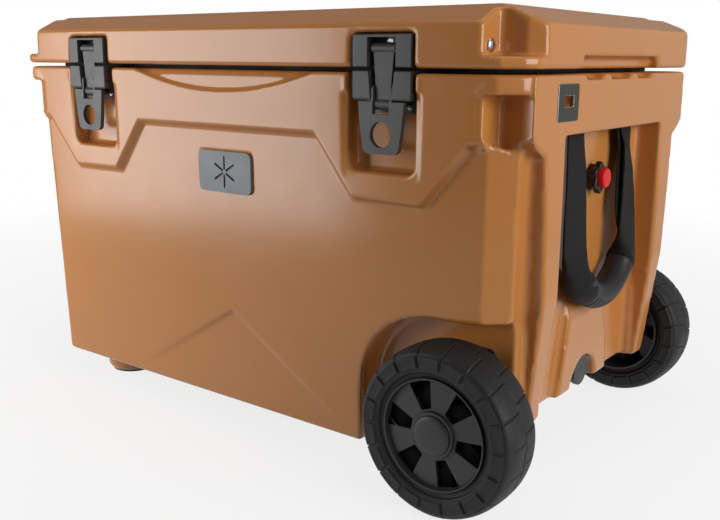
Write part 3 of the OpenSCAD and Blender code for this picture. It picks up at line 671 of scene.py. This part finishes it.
FLOOR_X = X(367.0)
lobes = lambda t: 16.6 + 2.0 * math.cos(6 * (t - math.pi / 2))
vb = axial_mesh("valve_body_skin", FLOOR_X, [(0.1, 3.5), (7.2, 3.5), (7.5, 0.7), (8.1, 0.0), (13.4, 0.0), (14.3, 0.4), (14.8, 1.2), (15.0, 2.4), (14.9, 4.4), (14.2, 5.0)], lobes)
valve = add_object("valve_body_skin", vb, "cooler_body", "black_plastic")
sharp(valve, 40)
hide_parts("valve_body")
disc = lambda t: 11.4
bt = axial_mesh("valve_button_skin", FLOOR_X, [(6.2, 0.6), (6.5, 0.0), (19.8, 0.0), (21.0, 0.35), (21.6, 1.0), (21.9, 2.0), (22.0, 6.0)], disc, 96)
button = add_object("valve_button_skin", bt, "valve_button", "button_red")
sharp(button, 40)
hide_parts("valve_button")


# ---------------------------------------------------------------- wheels
AX, AZ = X(329.0), 0.092
LUGS = 18
LUG0 = 2.6


def ang_gap(deg, off):
    """Distance in degrees to the nearest lug gap."""
    p = 360.0 / LUGS
    q = (deg - off) / p
    return np.abs(q - np.round(q)) * p


def tyre_mesh(name, mirror):
    # profile from the rim's seat outwards over the tread and back, as (r, w)
    prof = [(60.15, 8.0), (60.2, 8.0), (60.9, 7.4), (63.0, 7.2), (65.0, 7.0), (65.8, 6.2), (66.4, 4.2), (67.2, 3.0), (68.4, 2.6)]
    prof += [(r, 2.6) for r in np.linspace(69.4, 84.0, 22)]
    prof += [(85.1, 2.7), (86.2, 3.2), (87.3, 4.1), (88.3, 5.4), (89.1, 7.2), (89.8, 9.2), (90.4, 11.4), (90.9, 13.8), (91.25, 16.4)]
    prof += [(91.5 + 0.5 * math.sin(math.pi * (w_ - 18) / 29.0), w_) for w_ in np.linspace(18.6, 46.4, 31)]
    half = [(r, 65.0 - w_) for r, w_ in prof if w_ <= 18.0]
    prof = prof + half[::-1]
    prof = np.array(prof)
    nt = 720
    th = np.arange(nt) * 360.0 / nt
    R = np.repeat(prof[None, :, 0], nt, 0)
    W = np.repeat(prof[None, :, 1], nt, 0)
    T = np.repeat(th[:, None], len(prof), 1)
    outer = W < 32.5
    # raised shoulder blocks on both side walls
    off = np.where(outer, LUG0, LUG0 + 10.0)
    g = ang_gap(T, off)
    arc = g * R * math.pi / 180.0
    side = (R > 68.9) & (R < 84.3) & ((W < 2.65) | (W > 62.35))
    band = smoothstep(70.4, 71.6, R) * (1 - smoothstep(83.0, 84.2, R))
    body_ = smoothstep(1.3, 2.3, arc)
    raise_ = 2.35 * band * body_ * side
    # a shallow pocket inside each block
    pocket = smoothstep(72.6, 73.6, R) * (1 - smoothstep(80.8, 81.8, R)) * smoothstep(3.6, 4.6, arc)
    raise_ = raise_ - 0.35 * pocket * side
    W = np.where(outer, W - raise_, W + raise_)
    # tread grooves: transverse ones from each shoulder to the middle, offset by half a pitch, and a middle line
    tread = (R > 84.5)
    slant = (np.minimum(W, 65 - W) - 8.0) * 0.10
    g2 = np.abs(((T - off - slant * np.where(outer, 1, -1)) / (360.0 / LUGS)) - np.round((T - off - slant * np.where(outer, 1, -1)) / (360.0 / LUGS))) * 360.0 / LUGS
    arc2 = g2 * R * math.pi / 180.0
    cut = 1.9 * (1 - smoothstep(0.55, 1.2, arc2)) * tread
    mid = 1.1 * (1 - smoothstep(0.7, 1.3, np.abs(W - 32.5 - 0.9 * np.sin(np.radians(T * LUGS / 1.0))))) * tread
    edge_l = 0.7 * (1 - smoothstep(0.5, 1.1, np.abs(np.minimum(W, 65 - W) - 12.5))) * tread * (g2 > 4.0)
    R = R - np.maximum(np.maximum(cut, mid), edge_l)
    # faint moulding ripple
    R = R + 0.05 * np.sin(np.radians(T * 7)) * (R > 84)
    a = np.radians(T)
    x = AX * 1000 + R * np.cos(a)
    z = AZ * 1000 + R * np.sin(a)
    y = -271.0 + W
    if mirror:
        y = -y
    P = np.stack([x, y, z], 2) / 1000.0
    nv = len(prof)
    verts = P.reshape(-1, 3)
    # closes the ring at the bore side between the two seats
    faces = []
    idx = np.arange(nt * nv).reshape(nt, nv)
    nxt = np.roll(idx, -1, 0)
    A, B, C, D = idx, np.roll(idx, -1, 1), np.roll(nxt, -1, 1), nxt
    q = np.stack([A.ravel(), B.ravel(), C.ravel(), D.ravel()], 1)
    if mirror:
        q = q[:, ::-1]
    me = bpy.data.meshes.new(name)
    me.vertices.add(len(verts))
    me.vertices.foreach_set("co", verts.astype(np.float32).ravel())
    me.loops.add(len(q) * 4)
    me.loops.foreach_set("vertex_index", q.astype(np.int32).ravel())
    me.polygons.add(len(q))
    me.polygons.foreach_set("loop_start", np.arange(0, len(q) * 4, 4, dtype=np.int32))
    me.update(calc_edges=True)
    me.validate()
    bm = bmesh.new()
    bm.from_mesh(me)
    bmesh.ops.recalc_face_normals(bm, faces=bm.faces)
    bm.to_mesh(me)
    bm.free()
    return me


def lathe(name, prof, mirror, m=144, wobble=None):
    """Ring or disc round the wheel's axis from (r, w) rows, closed from the last row to the first."""
    rings = []
    for i in range(m):
        t = 2 * math.pi * i / m
        rings.append([Vector((AX + r * math.cos(t) / 1000.0, (-271.0 + w_) / 1000.0 * (-1 if mirror else 1), AZ + r * math.sin(t) / 1000.0)) for r, w_ in prof])
    k = len(prof)
    v = [p for r in rings for p in r]
    f = []
    for i in range(m):
        a, b = i * k, ((i + 1) % m) * k
        for j in range(k):
            j2 = (j + 1) % k
            f.append((a + j, a + j2, b + j2, b + j))
    me = mesh_from(name, v, f)
    bm = bmesh.new()
    bm.from_mesh(me)
    bmesh.ops.remove_doubles(bm, verts=bm.verts, dist=1e-6)
    bmesh.ops.recalc_face_normals(bm, faces=bm.faces)
    bm.to_mesh(me)
    bm.free()
    return me


for side_n, mir in (("front", False), ("rear", True)):
    bd = "wheel_" + side_n
    ty = add_object("tyre_%s_skin" % side_n, tyre_mesh("tyre_%s_skin" % side_n, mir), bd, "tyre")
    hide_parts("tyre_" + side_n)
    # thin near-black disc behind the rim's windows, painted shade standing in for the shaded inside of the wheel
    dark = lathe("wheel_%s_hollow" % side_n, [(26.4, 12.6), (56.6, 12.6), (56.6, 13.4), (26.4, 13.4)], mir)
    add_object("wheel_%s_hollow" % side_n, dark, bd, "wheel_plastic", True, PAINTED_SHADE_BLACK)
    cap_p = [(0.0, 1.0), (5.4, 1.03), (10.8, 1.15), (15.1, 1.4), (17.9, 1.75), (19.8, 2.3), (20.9, 3.1), (21.3, 4.0), (21.0, 4.9), (20.6, 5.6), (0.0, 5.6)]
    hc = add_object("hub_cap_%s_skin" % side_n, lathe("hub_cap_%s_skin" % side_n, cap_p, mir, 96), bd, "wheel_plastic")
    sharp(hc, 50)
    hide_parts("hub_cap_" + side_n)
# ---------------------------------------------------------------- stage
bpy.ops.mesh.primitive_plane_add(size=1)
floor = bpy.context.object
floor.name = "floor"
floor.scale = (14, 14, 1)
floor.location = (0, 0, -0.0002)
fm, fnt, fb, fco = new_mat("pale_floor")
fmix = fnt.nodes.new("ShaderNodeMix")
fmix.data_type = "RGBA"
fmix.inputs[6].default_value = (0.84, 0.84, 0.84, 1)
fmix.inputs[7].default_value = (0.24, 0.24, 0.24, 1)
fnt.links.new(fmix.outputs[2], fb.inputs["Base Color"])
fb.inputs["Roughness"].default_value = 0.7
fb.inputs["Specular IOR Level"].default_value = 0.1
geo = fnt.nodes.new("ShaderNodeNewGeometry")
ln = fnt.nodes.new("ShaderNodeVectorMath")
ln.operation = "LENGTH"
fnt.links.new(geo.outputs["Position"], ln.inputs[0])
far = ramp(fnt, math_node(fnt, "MULTIPLY", ln.outputs["Value"], 0.4), [(0.2, grey(0.0)), (0.75, grey(1.0))])
glow = fnt.nodes.new("ShaderNodeEmission")
glow.inputs[0].default_value = (1, 1, 1, 1)
glow.inputs[1].default_value = 1.0
path = fnt.nodes.new("ShaderNodeLightPath")
fnt.links.new(path.outputs["Is Diffuse Ray"], fmix.inputs[0])
seen = math_node(fnt, "MAXIMUM", path.outputs["Is Camera Ray"], path.outputs["Is Glossy Ray"])
mg = fnt.nodes.new("ShaderNodeMixShader")
fnt.links.new(math_node(fnt, "MULTIPLY", seen, 0.8), mg.inputs[0])
fnt.links.new(fb.outputs[0], mg.inputs[1])
fnt.links.new(glow.outputs[0], mg.inputs[2])
tr = fnt.nodes.new("ShaderNodeBsdfTransparent")
mx = fnt.nodes.new("ShaderNodeMixShader")
outn = [n for n in fnt.nodes if n.type == "OUTPUT_MATERIAL"][0]
fnt.links.new(far, mx.inputs[0])
fnt.links.new(mg.outputs[0], mx.inputs[1])
fnt.links.new(tr.outputs[0], mx.inputs[2])
fnt.links.new(mx.outputs[0], outn.inputs[0])
paint(floor, fm)

w = bpy.data.worlds.new("studio")
scene.world = w
w.use_nodes = True
wn = w.node_tree
wn.nodes.clear()
wo = wn.nodes.new("ShaderNodeOutputWorld")
wt = wn.nodes.new("ShaderNodeTexCoord")
wsx = wn.nodes.new("ShaderNodeSeparateXYZ")
wn.links.new(wt.outputs["Generated"], wsx.inputs[0])
# darker in front of the latches, brighter behind and above
wy = math_node(wn, "MULTIPLY", math_node(wn, "ADD", wsx.outputs["Y"], 1.0), 0.5)
wl = ramp(wn, wy, [(0.0, grey(0.14)), (0.45, grey(0.18)), (0.75, grey(0.24)), (1.0, grey(0.28))])
bg = wn.nodes.new("ShaderNodeBackground")
wn.links.new(wl, bg.inputs[0])
bg.inputs[1].default_value = 1.0
bgc = wn.nodes.new("ShaderNodeBackground")
bgc.inputs[0].default_value = (1, 1, 1, 1)
bgc.inputs[1].default_value = 1.0
lp = wn.nodes.new("ShaderNodeLightPath")
ms = wn.nodes.new("ShaderNodeMixShader")
wn.links.new(lp.outputs["Is Camera Ray"], ms.inputs[0])
wn.links.new(bg.outputs[0], ms.inputs[1])
wn.links.new(bgc.outputs[0], ms.inputs[2])
wn.links.new(ms.outputs[0], wo.inputs[0])


def softbox(name, loc, target, sx, sy, radiance):
    l = bpy.data.lights.new(name, "AREA")
    l.shape = "RECTANGLE"
    l.size, l.size_y = sx, sy
    l.energy = radiance * math.pi * sx * sy
    o = bpy.data.objects.new(name, l)
    scene.collection.objects.link(o)
    o.location = loc
    o.rotation_mode = "QUATERNION"
    o.rotation_quaternion = (Vector(target) - Vector(loc)).to_track_quat("-Z", "Y")
    o.visible_camera = False
    return o


softbox("key_left", (-0.963, -1.029, 0.42), (-0.963 + 0.259, -1.029 + 0.966, 0.40), 0.87, 0.82, 5.3)
softbox("side_right", (2.0, -0.15, 0.75), (0.39, 0.0, 0.25), 1.2, 1.1, 5.7)
softbox("rear_card", (1.05, 1.7, 0.55), (0.39, 0.0, 0.25), 1.5, 1.3, 0.27)
softbox("top_soft", (0.15, -0.1, 1.9), (0.1, 0.0, 0.4), 1.3, 1.2, 1.0)

cam_d = bpy.data.cameras.new("camera")
cam_d.sensor_width = 36.0
cam_d.lens = 44.747
cam_d.clip_start = 0.01
cam = bpy.data.objects.new("camera", cam_d)
scene.collection.objects.link(cam)
cam.rotation_mode = "QUATERNION"
cam.location = (0.77367, -0.98310, 0.46551)
cam.rotation_quaternion = (0.7390183098, 0.5921203014, 0.1980402294, 0.2530327132)
scene.camera = cam
scene.view_settings.view_transform = "Standard"
scene.view_settings.look = "None"
